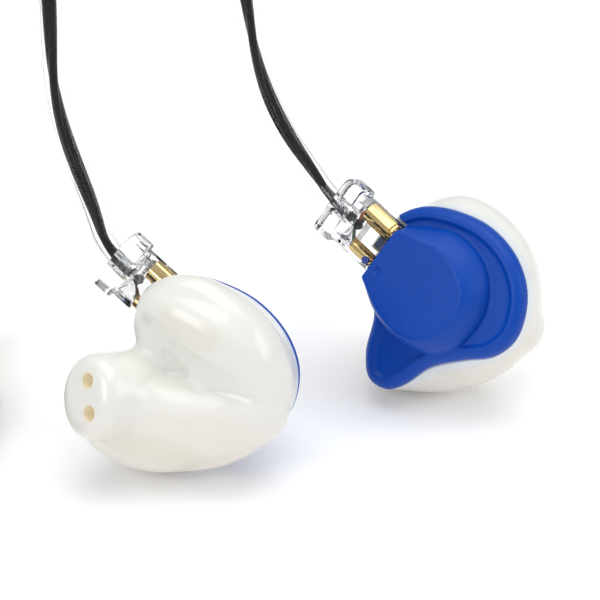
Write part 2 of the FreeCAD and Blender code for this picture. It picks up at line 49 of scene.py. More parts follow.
# Each earpiece is drawn in millimetres in its own ear frame, with X backwards, Y upwards and
# Z towards the head, and then stood on the table: turned, leaned and rolled, in degrees.
# The left one is the mirror image.
STANDS = {
    "right": {"turn": -21.0, "lean": 10.6, "roll": 6.0, "spot": (-0.01314, -0.00894, 0.01317)},
    "left": {"turn": -33.7, "lean": 25.7, "roll": 16.0, "spot": (0.01836, 0.00451, 0.01597)},
}


def ear_matrix(side):
    """Takes millimetres in the ear frame to metres on the table."""
    stand = STANDS[side]
    move = Matrix.Translation(Vector(stand["spot"]))
    move = move @ Matrix.Rotation(math.radians(stand["turn"]), 4, "Z")
    move = move @ Matrix.Rotation(math.radians(90 - stand["lean"]), 4, "X")
    move = move @ Matrix.Rotation(math.radians(stand["roll"]), 4, "Z")
    flip = -1 if side == "left" else 1
    return move @ Matrix.Diagonal((MM, MM, MM * flip, 1))


EAR = {side: ear_matrix(side) for side in SIDES}

# Camera ---------------------------------------------------------------------------------

LOOK_AT = Vector((-0.00144, -0.00516, 0.0214))
CAMERA_AWAY = 0.36
CAMERA_RISE = math.radians(30)
LENS = 164


def add_camera():
    """A long lens from the front, looking down at the pair."""
    data = bpy.data.cameras.new("camera")
    data.lens = LENS
    data.sensor_width = 36
    data.clip_start = 0.02
    camera = bpy.data.objects.new("camera", data)
    back = Vector((0, -math.cos(CAMERA_RISE), math.sin(CAMERA_RISE)))
    camera.location = LOOK_AT + back * CAMERA_AWAY
    camera.rotation_euler = (math.pi / 2 - CAMERA_RISE, 0, 0)
    bpy.context.scene.collection.objects.link(camera)
    bpy.context.scene.camera = camera


# Mesh helpers -----------------------------------------------------------------------------

LOOP_STEPS = 8
ROD_SIDES = 40
# Where a round end's rings stand, as angles up from its widest ring.
DOME_ANGLES = [math.radians(angle) for angle in (85, 65, 45, 25)]
CAD_SHARP_ANGLE = 35
# Only what is higher than this above the plate takes a groove.
PRESS_ABOVE = 3


def add_object(name, mesh):
    obj = bpy.data.objects.new(name, mesh)
    bpy.context.scene.collection.objects.link(obj)
    return obj


def new_mesh(name, points, faces):
    mesh = bpy.data.meshes.new(name)
    mesh.from_pydata([tuple(point) for point in points], [], faces)
    mesh.update()
    return mesh


def baked(obj):
    """The mesh that an object and its modifiers make; the object itself goes."""
    graph = bpy.context.evaluated_depsgraph_get()
    mesh = bpy.data.meshes.new_from_object(obj.evaluated_get(graph))
    bpy.data.objects.remove(obj)
    return mesh


def skin(rings, closed_ends=True):
    """Quads between rings of equal size, with flat ends."""
    count = len(rings[0])
    points = [point for ring in rings for point in ring]
    faces = []
    for row in range(len(rings) - 1):
        for step in range(count):
            after = (step + 1) % count
            faces.append((row * count + step, row * count + after,
                          (row + 1) * count + after, (row + 1) * count + step))
    if closed_ends:
        faces.append(tuple(reversed(range(count))))
        faces.append(tuple((len(rings) - 1) * count + step for step in range(count)))
    return points, faces


def joined(shapes):
    """Several (points, faces) shapes as one."""
    points = []
    faces = []
    for shape_points, shape_faces in shapes:
        first = len(points)
        points += list(shape_points)
        faces += [tuple(first + corner for corner in face) for face in shape_faces]
    return points, faces


def between(a, b, c, d, share):
    """The point at a share of the way from b to c on a Catmull-Rom curve."""
    return 0.5 * (2 * b + (c - a) * share + (2 * a - 5 * b + 4 * c - d) * share * share
                  + (3 * b - a - 3 * c + d) * share ** 3)


def smooth_loop(corners):
    """A closed Catmull-Rom curve through flat corners."""
    loop = []
    count = len(corners)
    for index in range(count):
        near = [Vector(corners[(index + shift) % count]) for shift in (-1, 0, 1, 2)]
        loop += [between(*near, step / LOOP_STEPS) for step in range(LOOP_STEPS)]
    return loop


def smooth_line(corners, steps=8):
    """An open Catmull-Rom curve; a corner may be any row of numbers."""
    line = []
    ends = [corners[0]] + list(corners) + [corners[-1]]
    for index in range(1, len(ends) - 2):
        near = [Vector(ends[index + shift]) for shift in (-1, 0, 1, 2)]
        line += [between(*near, step / steps) for step in range(steps)]
    line.append(Vector(corners[-1]))
    return line


def inset(points, distance):
    """The same clockwise outline, moved inwards along its own normals."""
    moved = []
    count = len(points)
    for index, point in enumerate(points):
        along = (Vector(points[(index + 1) % count]) - Vector(points[index - 1])).normalized()
        moved.append(Vector((point[0] + along.y * distance, point[1] - along.x * distance)))
    return moved


def stacked(levels):
    """A solid through flat outlines, each (height, points), listed towards +Z."""
    rings = [[Vector((p[0], p[1], height)) for p in reversed(points)] for height, points in levels]
    return skin(rings)


def side_axes(direction):
    """Two unit vectors square to a direction."""
    across = direction.cross(Vector((0, 0, 1)))
    if across.length < 1e-4:
        across = direction.cross(Vector((1, 0, 0)))
    across.normalize()
    return across, direction.cross(across).normalized()


def carried_axes(path):
    """Tangent and two side axes at each point of a path, carried along it without twist."""
    axes = []
    across = None
    for index, point in enumerate(path):
        before = path[max(index - 1, 0)]
        after = path[min(index + 1, len(path) - 1)]
        tangent = (after - before).normalized()
        if across is None:
            across = side_axes(tangent)[0]
        across = (across - tangent * across.dot(tangent)).normalized()
        axes.append((tangent, across, tangent.cross(across)))
    return axes


def full_turn(sides):
    """The angles of one turn in equal steps."""
    return [2 * math.pi * step / sides for step in range(sides)]


def circle(centre, across, up, radius, sides):
    """Points round a centre, in the plane of two unit vectors."""
    return [centre + (across * math.cos(turn) + up * math.sin(turn)) * radius
            for turn in full_turn(sides)]


def sausage(corners, sides=28):
    """A round form through (x, y, z, radius) corners, with domed ends."""
    line = smooth_line(corners)
    path = [Vector(p[:3]) for p in line]
    rings = []
    for (tangent, across, up), centre, corner in zip(carried_axes(path), path, line):
        rings.append((centre, tangent, across, up, corner[3]))
    first = [(rings[0], -math.sin(a), math.cos(a)) for a in DOME_ANGLES]
    last = [(rings[-1], math.sin(a), math.cos(a)) for a in reversed(DOME_ANGLES)]
    out = []
    for (centre, tangent, across, up, radius), shift, shrink in (
            first + [(ring, 0, 1) for ring in rings] + last):
        out.append(circle(centre + tangent * (shift * radius), across, up, radius * shrink, sides))
    return skin(out)


def rod(start, end, radius):
    """A round rod between two points."""
    across, up = side_axes((end - start).normalized())
    return skin([circle(centre, across, up, radius, ROD_SIDES) for centre in (start, end)])


def slab(centre, x_dir, y_dir, size):
    """A box with its own axes."""
    z_dir = x_dir.cross(y_dir)
    rings = []
    for z in (-0.5, 0.5):
        rings.append([centre + x_dir * (size[0] * x) + y_dir * (size[1] * y) + z_dir * (size[2] * z)
                      for x, y in ((-0.5, -0.5), (0.5, -0.5), (0.5, 0.5), (-0.5, 0.5))])
    return skin(rings)


def moulded(shapes, voxel, rounds):
    """Overlapping closed shapes melted into one smooth skin."""
    obj = add_object("moulded", new_mesh("moulded", *joined(shapes)))
    melt = obj.modifiers.new("melt", "REMESH")
    melt.mode = "VOXEL"
    melt.voxel_size = voxel
    relax = obj.modifiers.new("relax", "SMOOTH")
    relax.factor = 0.5
    relax.iterations = rounds
    return baked(obj)


def cut_away(mesh, shape):
    """The mesh less one closed shape."""
    obj = add_object("cut", mesh)
    tool = add_object("tool", new_mesh("tool", *shape))
    cut = obj.modifiers.new("cut", "BOOLEAN")
    cut.operation = "DIFFERENCE"
    cut.object = tool
    cut.solver = "EXACT"
    result = baked(obj)
    bpy.data.objects.remove(tool)
    return result


def press(mesh, line, reach, depth):
    """Sinks a soft groove along a flat line into the side of the mesh that faces +Z."""
    corners = [Vector((*point, 0)) for point in line]
    for vertex in mesh.vertices:
        flat = Vector((vertex.co.x, vertex.co.y, 0))
        gap = reach
        for start, end in zip(corners, corners[1:]):
            run = end - start
            share = min(max((flat - start).dot(run) / run.length_squared, 0), 1)
            gap = min(gap, (flat - start - run * share).length)
        if vertex.co.z > PRESS_ABOVE and gap < reach:
            vertex.co.z -= depth * (1 - (gap / reach) ** 2) ** 2


def paint(mesh, index, test):
    """Gives the faces whose centres pass a test another material."""
    for face in mesh.polygons:
        if test(face.center):
            face.material_index = index


def shade(mesh, angle=None):
    """Smooth shading, kept sharp over edges steeper than the angle."""
    mesh.shade_smooth()
    if angle is not None:
        mesh.set_sharp_from_angle(angle=math.radians(angle))


def ear_piece(name, mesh, side, body, materials, node):
    """Stands a mesh from the ear frame on the table, in place of one earpiece's CAD node."""
    placed = mesh.copy()
    placed.name = side + "_" + name
    spot = placed.attributes.new("ear_spot", "FLOAT_VECTOR", "POINT")
    for vertex, item in zip(placed.vertices, spot.data):
        item.vector = vertex.co
    placed.transform(EAR[side])
    if side == "left":
        placed.flip_normals()
    for material in materials:
        placed.materials.append(LOOKS[material])
    obj = add_object(side + "_" + name, placed)
    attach(obj, body)
    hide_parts(side + "_" + node)
    return obj


# Materials ------------------------------------------------------------------------------

class Look:
    """A node material around one Principled shader."""

    def __init__(self, name, color, **sockets):
        self.material = bpy.data.materials.new(name)
        self.material.use_nodes = True
        self.nodes = self.material.node_tree.nodes
        self.links = self.material.node_tree.links
        self.shader = self.nodes["Principled BSDF"]
        self.shader.inputs["Base Color"].default_value = (*color, 1)
        for socket, value in sockets.items():
            self.shader.inputs[socket.replace("_", " ")].default_value = value

    def link(self, source, target):
        self.links.new(source, target)

    def place(self):
        return self.nodes.new("ShaderNodeTexCoord").outputs["Object"]

    def noise(self, per_metre, detail=2):
        node = self.nodes.new("ShaderNodeTexNoise")
        node.inputs["Scale"].default_value = per_metre
        node.inputs["Detail"].default_value = detail
        self.link(self.place(), node.inputs["Vector"])
        return node.outputs["Fac"]

    def spread(self, value, low, high, low_out=0.0, high_out=1.0):
        """Eases a value from low..high to low_out..high_out."""
        node = self.nodes.new("ShaderNodeMapRange")
        node.interpolation_type = "SMOOTHSTEP"
        for socket, number in (("From Min", low), ("From Max", high),
                               ("To Min", low_out), ("To Max", high_out)):
            node.inputs[socket].default_value = number
        self.link(value, node.inputs["Value"])
        return node.outputs["Result"]

    def mix(self, amount, first, second):
        """Blends two colours; each is a tuple or a socket."""
        node = self.nodes.new("ShaderNodeMix")
        node.data_type = "RGBA"
        for name, value in (("A", first), ("B", second)):
            socket = [s for s in node.inputs if s.name == name and s.type == "RGBA"][0]
            if isinstance(value, tuple):
                socket.default_value = (*value, 1)
            else:
                self.link(value, socket)
        self.link(amount, node.inputs["Factor"])
        return [s for s in node.outputs if s.type == "RGBA"][0]

    def color(self, value):
        self.link(value, self.shader.inputs["Base Color"])

    def roughness(self, value):
        self.link(value, self.shader.inputs["Roughness"])

    def bump(self, height, depth):
        """Relief of that depth in metres."""
        node = self.nodes.new("ShaderNodeBump")
        node.inputs["Distance"].default_value = depth
        self.link(height, node.inputs["Height"])
        self.link(node.outputs["Normal"], self.shader.inputs["Normal"])


def grained(name, color, shift, grain=9000, depth=0.00002, rough=(0.35, 0.5), **sockets):
    """A moulded or coated material: slight colour drift, fine grain, uneven gloss."""
    look = Look(name, color, **sockets)
    darker = tuple(channel * (1 - shift) for channel in color)
    look.color(look.mix(look.noise(700), darker, color))
    look.roughness(look.spread(look.noise(1500), 0.3, 0.7, *rough))
    look.bump(look.noise(grain), depth)
    return look.material


def ear_coordinate(look):
    """The place in the ear frame, in millimetres: as one vector, and as its X, Y and Z."""
    attribute = look.nodes.new("ShaderNodeAttribute")
    attribute.attribute_name = "ear_spot"
    parts = look.nodes.new("ShaderNodeSeparateXYZ")
    look.link(attribute.outputs["Vector"], parts.inputs["Vector"])
    return attribute.outputs["Vector"], parts.outputs


def label_patch(look, spot, centre, along, half):
    """1 inside a soft-edged oblong patch of the shell, 0 outside."""
    mapping = look.nodes.new("ShaderNodeMapping")
    mapping.vector_type = "TEXTURE"
    mapping.inputs["Location"].default_value = centre
    mapping.inputs["Rotation"].default_value = (0, 0, along)
    mapping.inputs["Scale"].default_value = (half[0], half[1], 6)
    look.link(spot, mapping.inputs["Vector"])
    parts = look.nodes.new("ShaderNodeSeparateXYZ")
    look.link(mapping.outputs["Vector"], parts.inputs["Vector"])
    edges = []
    for axis in "XY":
        size = look.nodes.new("ShaderNodeMath")
        size.operation = "ABSOLUTE"
        look.link(parts.outputs[axis], size.inputs[0])
        edges.append(look.spread(size.outputs[0], 1.3, 0.6))
    both = look.nodes.new("ShaderNodeMath")
    both.operation = "MULTIPLY"
    look.link(edges[0], both.inputs[0])
    look.link(edges[1], both.inputs[1])
    return both.outputs[0]


# The shell's colour in its middle, low down, by the faceplate and in the two patches.
PEARL = (0.77, 0.77, 0.725)
PEARL_WARM = (0.78, 0.715, 0.64)
PEARL_BLUE = (0.60, 0.71, 0.86)
PATCH = (0.70, 0.655, 0.54)
# Middle, direction and half size of each patch.
PATCHES = (((0.9, 8.4, 8), -0.36, (4.6, 1.9)), ((-3.4, -7.4, 8), -0.32, (5.6, 2.3)))


def pearl_resin():
    """Milky resin: cooler by the faceplate, warmer low down, two blank patches."""
    look = Look("pearl_resin", PEARL, Roughness=0.24, Coat_Weight=0.25, Coat_Roughness=0.12,
                IOR=1.5)
    spot, parts = ear_coordinate(look)
    tone = look.mix(look.spread(look.noise(60, 1), 0, 1, 0, 0.4), PEARL, PEARL_WARM)
    tone = look.mix(look.spread(parts["Y"], 2.0, -11.0, 0, 0.75), tone, PEARL_WARM)
    for centre, along, half in PATCHES:
        patch = label_patch(look, spot, centre, along, half)
        tone = look.mix(look.spread(patch, 0, 1, 0, 0.4), tone, PATCH)
    tone = look.mix(look.spread(parts["Z"], 2.0, 0.1, 0, 0.5), tone, PEARL_BLUE)
    look.color(tone)
    look.roughness(look.spread(look.noise(100, 1), 0, 1, 0.21, 0.27))
    return look.material


def clear_look(name, color, edge, rough, ior):
    """Clear plastic with painted shade: its colour turns darker where it is seen edge-on."""
    look = Look(name, color, Transmission_Weight=1.0, IOR=ior, Roughness=rough)
    facing = look.nodes.new("ShaderNodeLayerWeight")
    facing.inputs["Blend"].default_value = 0.5
    # Painted shade: the base colour moves to the darker edge colour as the surface turns edge-on to
    # the view.
    look.color(look.mix(look.spread(facing.outputs["Facing"], 0.45, 0.95), color, edge))
    look.bump(look.noise(900), 0.00001)
    return look.material


def metal_look(name, color, rough=(0.16, 0.3), scratch=6000):
    """Metal with slightly uneven colour and gloss; scratch is the marks' fineness per metre."""
    look = Look(name, color, Metallic=1.0)
    look.color(look.mix(look.noise(900), tuple(c * 0.86 for c in color), color))
    look.roughness(look.spread(look.noise(scratch, 3), 0.3, 0.7, *rough))
    look.bump(look.noise(scratch), 0.000004)
    return look.material


def cable_look(name, color, rough):
    """Glossy extruded jacket with a faintly uneven skin."""
    look = Look(name, color, Specular_IOR_Level=0.18, Coat_Weight=0.12, Coat_Roughness=0.03)
    look.color(look.mix(look.noise(300), tuple(c * 0.7 for c in color), color))
    look.roughness(look.spread(look.noise(1200), 0.3, 0.7, *rough))
    look.bump(look.noise(3500, 3), 0.00001)
    return look.material


LOOKS = {
    "blue_shell_resin": grained("blue_shell_resin", (0.0004, 0.058, 0.39), 0.08, grain=5200,
                                depth=0.00003, rough=(0.34, 0.44), Specular_IOR_Level=0.22),
    "pearl_resin": pearl_resin(),
    # Painted light: a faint warm emission makes the inside of the sound bores look lit.
    "bore_wall_painted_glow": grained("bore_wall_painted_glow", (0.84, 0.77, 0.60), 0.05, rough=(0.3, 0.45),
                         Emission_Color=(0.90, 0.80, 0.58, 1), Emission_Strength=0.13),
    "gold": metal_look("gold", (0.95, 0.71, 0.31), (0.1, 0.18), 2500),
    "driver_steel": metal_look("driver_steel", (0.62, 0.62, 0.64), (0.22, 0.36)),
    "silicone_tube": grained("silicone_tube", (0.76, 0.66, 0.42), 0.1, Subsurface_Weight=0.3,
                             Subsurface_Scale=0.001),
    "damper_mesh": metal_look("damper_mesh", (0.75, 0.68, 0.5), (0.4, 0.55), 20000),
    "board_green": grained("board_green", (0.02, 0.17, 0.06), 0.2, rough=(0.25, 0.4)),
    "component_ceramic": grained("component_ceramic", (0.36, 0.27, 0.18), 0.2),
    "lead_wire": metal_look("lead_wire", (0.72, 0.38, 0.2)),
    "blank_label": grained("blank_label", (0.72, 0.66, 0.55), 0.08),
    # Each clear plastic's second colour is painted shade, used where it is seen edge-on.
    "clear_plastic": clear_look("clear_plastic", (0.98, 0.98, 0.975), (0.42, 0.43, 0.42),
                                0.03, 1.45),
    "clear_tube": clear_look("clear_tube", (0.985, 0.99, 0.99), (0.66, 0.69, 0.70), 0.02, 1.31),
    "marker_red": grained("marker_red", (0.55, 0.012, 0.015), 0.15, rough=(0.2, 0.35)),
    "marker_blue": grained("marker_blue", (0.01, 0.045, 0.28), 0.15, rough=(0.2, 0.35)),
    "key_blue": grained("key_blue", (0.012, 0.03, 0.12), 0.15, rough=(0.3, 0.45)),
    "cable_black": cable_look("cable_black", (0.003, 0.003, 0.0035), (0.08, 0.16)),
    "tie_black": grained("tie_black", (0.02, 0.02, 0.022), 0.3, grain=14000, depth=0.00008,
                         rough=(0.6, 0.8), Sheen_Weight=0.3),
    "black_plastic": grained("black_plastic", (0.018, 0.018, 0.02), 0.25),
    "black_rubber": grained("black_rubber", (0.015, 0.015, 0.016), 0.25, rough=(0.5, 0.65)),
    "wire_orange": grained("wire_orange", (0.55, 0.14, 0.03), 0.2),
    "wire_green": grained("wire_green", (0.03, 0.13, 0.07), 0.2),
    "wire_red": grained("wire_red", (0.16, 0.025, 0.015), 0.2),
    "solder": metal_look("solder", (0.52, 0.52, 0.47), (0.2, 0.34), 2500),
}


def dress_cad_nodes():
    """Gives each carried-over CAD node the look of its slot."""
    by_node = {
        "low_driver": "driver_steel", "high_driver": "driver_steel", "high_tube": "silicone_tube",
        "low_tube": "silicone_tube", "sound_dampers": "damper_mesh",
        "crossover_board": "board_green", "board_parts": "component_ceramic",
        "inner_wires": "lead_wire", "id_inlays": "blank_label", "contact_large": "gold",
        "contact_small": "gold", "pin_large": "gold", "pin_small": "gold",
        "crimp_rings": "clear_plastic",
    }
    looks = {side + "_" + node: look for side in SIDES for node, look in by_node.items()}
    looks.update({"right_side_marker": "marker_red", "left_side_marker": "marker_blue",
                  "chin_slider": "black_rubber", "y_split": "black_rubber",
                  "jack_relief": "black_rubber", "jack_barrel": "black_plastic",
                  "jack_sleeve": "gold", "jack_ring": "gold", "jack_tip": "gold",
                  "jack_bands": "black_plastic"})
    for node, look in looks.items():
        mesh = NODES[node].data
        mesh.materials.clear()
        mesh.materials.append(LOOKS[look])
        shade(mesh, CAD_SHARP_ANGLE)


# Cable ------------------------------------------------------------------------------------

# The plug in its ear frame: its axis and width, and the middle of its inner face.
PLUG_AXIS = Vector((-0.766, 0.643, 0)).normalized()
PLUG_CROSS = Vector((0.643, 0.766, 0)).normalized()
PLUG_FACE = Vector((-7.03, 6.63, -3.8))
# In millimetres: how far out the knot is, its radius, and how far out the ear guide starts.
KNOT_AT = 6.0
KNOT_R = 1.05
GUIDE_FROM = 9.3


def plug_point(out, across=0.0, up=0.0):
    """A point in the plug: out along its axis, across its width, up towards the outside."""
    return PLUG_FACE + PLUG_AXIS * out + PLUG_CROSS * across + Vector((0, 0, -up))


# The cable's widths and radii, in metres.
CORD_WIDE = 0.002
MAIN_WIDE = 0.0022
GUIDE_R = 0.00145
GUIDE_BORE = 0.00112
# The twin lead turns once in this length.
TWIST_PITCH = 0.046
TWIN_SIDES = 24
GUIDE_SIDES = 28

# Control points of the cable's stretches that are not coiled, in the order from plug to jack.
RISE = {
    "right": [(-0.0273, 0.00295, 0.0247), (-0.0288, 0.0048, 0.0293), (-0.0311, 0.0068, 0.0348),
              (-0.033, 0.0086, 0.0403), (-0.0341, 0.0103, 0.046), (-0.0343, 0.0119, 0.0519),
              (-0.0344, 0.0138, 0.0592), (-0.0382, 0.0164, 0.0646), (-0.0444, 0.0196, 0.0656),
              (-0.0498, 0.022, 0.0626), (-0.0528, 0.0233, 0.0564), (-0.0538, 0.0236, 0.0486),
              (-0.0539, 0.0235, 0.04), (-0.0536, 0.0233, 0.0314), (-0.053, 0.0231, 0.0234),
              (-0.053, 0.0231, 0.0155)],
    "left": [(0.0026, 0.0157, 0.026), (0.0003, 0.0175, 0.0288), (-0.0032, 0.0194, 0.0335),
             (-0.0059, 0.0213, 0.0387), (-0.0077, 0.0232, 0.0445), (-0.0088, 0.0253, 0.0511),
             (-0.0099, 0.0276, 0.058), (-0.0135, 0.0294, 0.0638), (-0.0199, 0.0303, 0.0666),
             (-0.0278, 0.0304, 0.0672), (-0.036, 0.0299, 0.0662), (-0.0432, 0.0292, 0.0628),
             (-0.0488, 0.0285, 0.0572), (-0.0522, 0.0278, 0.0498), (-0.0538, 0.0272, 0.0416),
             (-0.0542, 0.0269, 0.033), (-0.0536, 0.0267, 0.024), (-0.0536, 0.0267, 0.0155)],
}
GUIDE_END = {"right": (-0.0538, 0.0236, 0.0486), "left": (-0.0522, 0.0278, 0.0498)}
LEAD = {
    "right": [(-0.053, 0.0231, 0.0107), (-0.05395, 0.0231, 0.0064), (-0.05665, 0.023, 0.0029),
              (-0.0606, 0.023, 0.001), (-0.0644, 0.023, 0.001)],
    "left": [(-0.0536, 0.0267, 0.0107), (-0.0547, 0.0266, 0.0063), (-0.0575, 0.0262, 0.0029),
             (-0.0612, 0.0256, 0.001), (-0.0646, 0.0252, 0.001)],
}
TAIL = {
    "right": [(-0.0725, 0.0229, 0.0022), (-0.077, 0.0216, 0.0014), (-0.0802, 0.0184, 0.001),
              (-0.0809, 0.0134, 0.001), (-0.0809, -0.0075, 0.001)],
    "left": [(-0.073, 0.0251, 0.0022), (-0.0787, 0.0241, 0.0014), (-0.0823, 0.02, 0.001),
             (-0.0831, 0.0142, 0.001), (-0.0831, -0.0075, 0.001)],
}
MAIN_LEAD = [(-0.082, -0.0105, 0.0011), (-0.082, -0.017, 0.0011), (-0.0802, -0.0228, 0.0011),
             (-0.076, -0.027, 0.0011), (-0.0704, -0.029, 0.0011), (-0.065, -0.0282, 0.0011),
             (-0.0612, -0.027, 0.0011)]
MAIN_TAIL = [(-0.06, -0.0266, 0.0076), (-0.0545, -0.0276, 0.0066), (-0.0496, -0.0252, 0.0046),
             (-0.0466, -0.0206, 0.003), (-0.0466, -0.011, 0.003)]

BRANCH_COIL_AT = Vector((-0.0645, 0.014, 0))
MAIN_COIL_AT = Vector((-0.0645, -0.0142, 0))
# Radius and height of each turn, in winding order: two leads share the first coil.
BRANCH_TURNS = {
    "right": [(0.008, 0.001), (0.008, 0.0031), (0.010, 0.0031)],
    "left": [(0.010, 0.001), (0.012, 0.001), (0.012, 0.0031)],
}
MAIN_COLUMNS = (0.0132, 0.01095, 0.0087)
MAIN_ROWS = (0.0011, 0.0033, 0.0055, 0.0077)
TURN_POINTS = 16
# Where each coil starts, and how high a lead lifts as it steps to the next turn.
BRANCH_START = math.pi / 2
MAIN_START = math.radians(-76)
BRANCH_HUMP = 0.002


def main_turns():
    """In and out again, row by row, like thread on a bobbin."""
    turns = []
    for row, height in enumerate(MAIN_ROWS):
        columns = MAIN_COLUMNS if row % 2 == 0 else tuple(reversed(MAIN_COLUMNS))
        turns += [(radius, height) for radius in columns]
    return turns


def ease(value):
    """0 to 1 with soft ends."""
    value = min(max(value, 0.0), 1.0)
    return value * value * (3 - 2 * value)


def wound(centre, turns, start_angle, hump):
    """Control points of a neat coil; each turn steps to the next one in its last sixth."""
    points = []
    for number, (radius, height) in enumerate(turns):
        after = turns[min(number + 1, len(turns) - 1)]
        for step in range(1 if number == 0 else 0, TURN_POINTS):
            share = step / TURN_POINTS
            shift = ease((share - 0.83) / 0.17)
            angle = start_angle + 2 * math.pi * share
            lift = hump * math.cos(min(abs(share - 0.9) / 0.11, 1) * math.pi / 2) ** 2
            here = radius + (after[0] - radius) * shift
            points.append((centre.x + here * math.cos(angle), centre.y + here * math.sin(angle),
                           height + (after[1] - height) * shift + lift))
    return points


def nurbs_curve(name, points):
    """One open NURBS spline with those control points."""
    curve = bpy.data.curves.new(name, "CURVE")
    curve.dimensions = "3D"
    curve.resolution_u = 8
    spline = curve.splines.new("NURBS")
    spline.points.add(len(points) - 1)
    for target, point in zip(spline.points, points):
        target.co = (*point, 1)
    spline.order_u = 3
    spline.use_endpoint_u = True
    return add_object(name, curve)


def spline_points(points):
    """Points along the NURBS spline that a piece of cable follows."""
    mesh = baked(nurbs_curve("route", points))
    return [vertex.co.copy() for vertex in mesh.vertices]


def twin_lead(name, path, wide):
    """Two jacketed leads moulded side by side, which turn slowly along the path."""
    lobe = wide * 0.285
    offset = wide * 0.215
    rings = []
    travelled = 0.0
    for index, (centre, (tangent, across, up)) in enumerate(zip(path, carried_axes(path))):
        if index:
            travelled += (centre - path[index - 1]).length
        twist = 2 * math.pi * travelled / TWIST_PITCH
        ring = []
        for turn in full_turn(TWIN_SIDES):
            reach = offset * abs(math.cos(turn))
            reach += math.sqrt(lobe ** 2 - (offset * math.sin(turn)) ** 2)
            angle = turn + twist
            ring.append(centre + (across * math.cos(angle) + up * math.sin(angle)) * reach)
        rings.append(ring)
    mesh = new_mesh(name, *skin(rings))
    shade(mesh, 60)
    mesh.materials.append(LOOKS["cable_black"])
    return add_object(name, mesh)


def hollow_tube(name, path, outer, inner, look):
    """A clear sleeve with a real bore and bevelled lips."""
    axes = carried_axes(path)
    wall = outer - inner
    profile = [(index, outer) for index in range(len(path))]
    profile += [(len(path) - 1, inner + wall * 0.5)]
    profile += [(index, inner) for index in reversed(range(len(path)))]
    profile += [(0, inner + wall * 0.5)]
    rings = []
    for index, radius in profile:
        tangent, across, up = axes[index]
        lip = wall * 0.35 if radius not in (outer, inner) else 0
        centre = path[index] + tangent * (lip if index else -lip)
        rings.append(circle(centre, across, up, radius, GUIDE_SIDES))
    rings.append(rings[0])
    mesh = new_mesh(name, *skin(rings, closed_ends=False))
    shade(mesh, 60)
    mesh.materials.append(LOOKS[look])
    return add_object(name, mesh)


def nearest_index(path, point):
    """Which of a path's points is nearest to a point."""
    return min(range(len(path)), key=lambda index: (path[index] - Vector(point)).length)


TIE_THICK = 0.0004
TIE_WIDE = 0.003
TIE_CORNER = 0.0012
TIE_STEPS = 6
# Middle of each coil, the radii between which its strap runs, and the strap's inner height.
COILS = [(BRANCH_COIL_AT, 0.007, 0.013, 0.0042), (MAIN_COIL_AT, 0.0076, 0.0143, 0.0088)]


def add_ties():
    """One soft strap arched over each coil, with rounded shoulders."""
    straps = []
    for centre, inner, outer, height in COILS:
        rings = []
        for thickness, edge in ((0, -0.5), (TIE_THICK, -0.5), (TIE_THICK, 0.5), (0, 0.5),
                                (0, -0.5)):
            ring = []
            for radius, way in ((outer, 1), (inner, -1)):
                shoulder = Vector((centre.x + radius, height))
                middle = shoulder - Vector((TIE_CORNER * way, TIE_CORNER))
                foot = Vector((shoulder.x + thickness * way, 0))
                bend = []
                for step in range(TIE_STEPS + 1):
                    angle = math.pi / 2 * step / TIE_STEPS
                    bend.append(middle + Vector((math.cos(angle) * way, math.sin(angle)))
                                * (TIE_CORNER + thickness))
                ring += [foot] + bend if way == 1 else bend[::-1] + [foot]
            rings.append([Vector((p.x, centre.y + edge * TIE_WIDE, p.y)) for p in ring])
        points = [point for ring in rings for point in ring]
        count = len(rings[0])
        faces = []
        for row in range(len(rings) - 1):
            for step in range(count - 1):
                faces.append((row * count + step, row * count + step + 1,
                              (row + 1) * count + step + 1, (row + 1) * count + step))
        straps.append((points, faces))
    mesh = new_mesh("coil_ties", *joined(straps))
    shade(mesh, 40)
    mesh.materials.append(LOOKS["tie_black"])
    ties = add_object("coil_ties", mesh)
    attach(ties, "root")
    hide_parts("cable_ties")


def add_cables():
    """The two twin leads in their ear guides, and the main cord with its jack."""
    for side in SIDES:
        exit_point = EAR[side] @ plug_point(KNOT_AT + KNOT_R)
        route = [tuple(exit_point)] + RISE[side] + LEAD[side]
        route += wound(BRANCH_COIL_AT, BRANCH_TURNS[side], BRANCH_START, BRANCH_HUMP)
        path = spline_points(route + TAIL[side])
        cord = twin_lead(side + "_branch_cord", path, CORD_WIDE)
        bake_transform(cord)
        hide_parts(side + "_branch", side + "_branch_run", "branch_coil")
        first = nearest_index(path, EAR[side] @ plug_point(GUIDE_FROM))
        last = nearest_index(path, GUIDE_END[side])
        guide = hollow_tube(side + "_ear_guide_sleeve", path[first:last + 1], GUIDE_R, GUIDE_BORE,
                            "clear_tube")
        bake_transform(guide)
        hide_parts(side + "_ear_guide")
    turns = wound(MAIN_COIL_AT, main_turns(), MAIN_START, 0.0)
    main = nurbs_curve("main_cord", MAIN_LEAD + turns + MAIN_TAIL)
    main.data.bevel_depth = MAIN_WIDE / 2
    main.data.bevel_resolution = 5
    main.data.use_fill_caps = True
    main.data.materials.append(LOOKS["cable_black"])
    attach(main, "root")
    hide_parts("main_run", "main_coil")


# Earpieces ----------------------------------------------------------------------------------

# Outlines in the ear frame, clockwise from the corner above the plug.
PLATE_EDGE = [(-7.2, 11.3), (-3.3, 12.6), (1.5, 12.0), (6.8, 9.7), (10.7, 5.6), (12.3, 0.5),
              (11.0, -4.9), (7.5, -7.7), (2.8, -8.3), (-2.2, -9.3), (-6.0, -11.6), (-8.9, -12.4),
              (-11.5, -10.8), (-11.9, -7.0), (-10.7, -2.5), (-10.9, 1.6), (-9.7, 5.2), (-8.9, 8.9)]
# The plate's rounded edge: height, and how far inside the outline.
PLATE_RIM = [(-1.6, 2.3), (-1.62, 2.0), (-1.8, 1.75), (-1.98, 1.55), (-2.0, 1.4), (-1.95, 1.15),
             (-1.85, 0.9), (-1.6, 0.55), (-1.25, 0.25), (-0.8, 0.07), (-0.4, 0.0), (0.0, 0.0)]
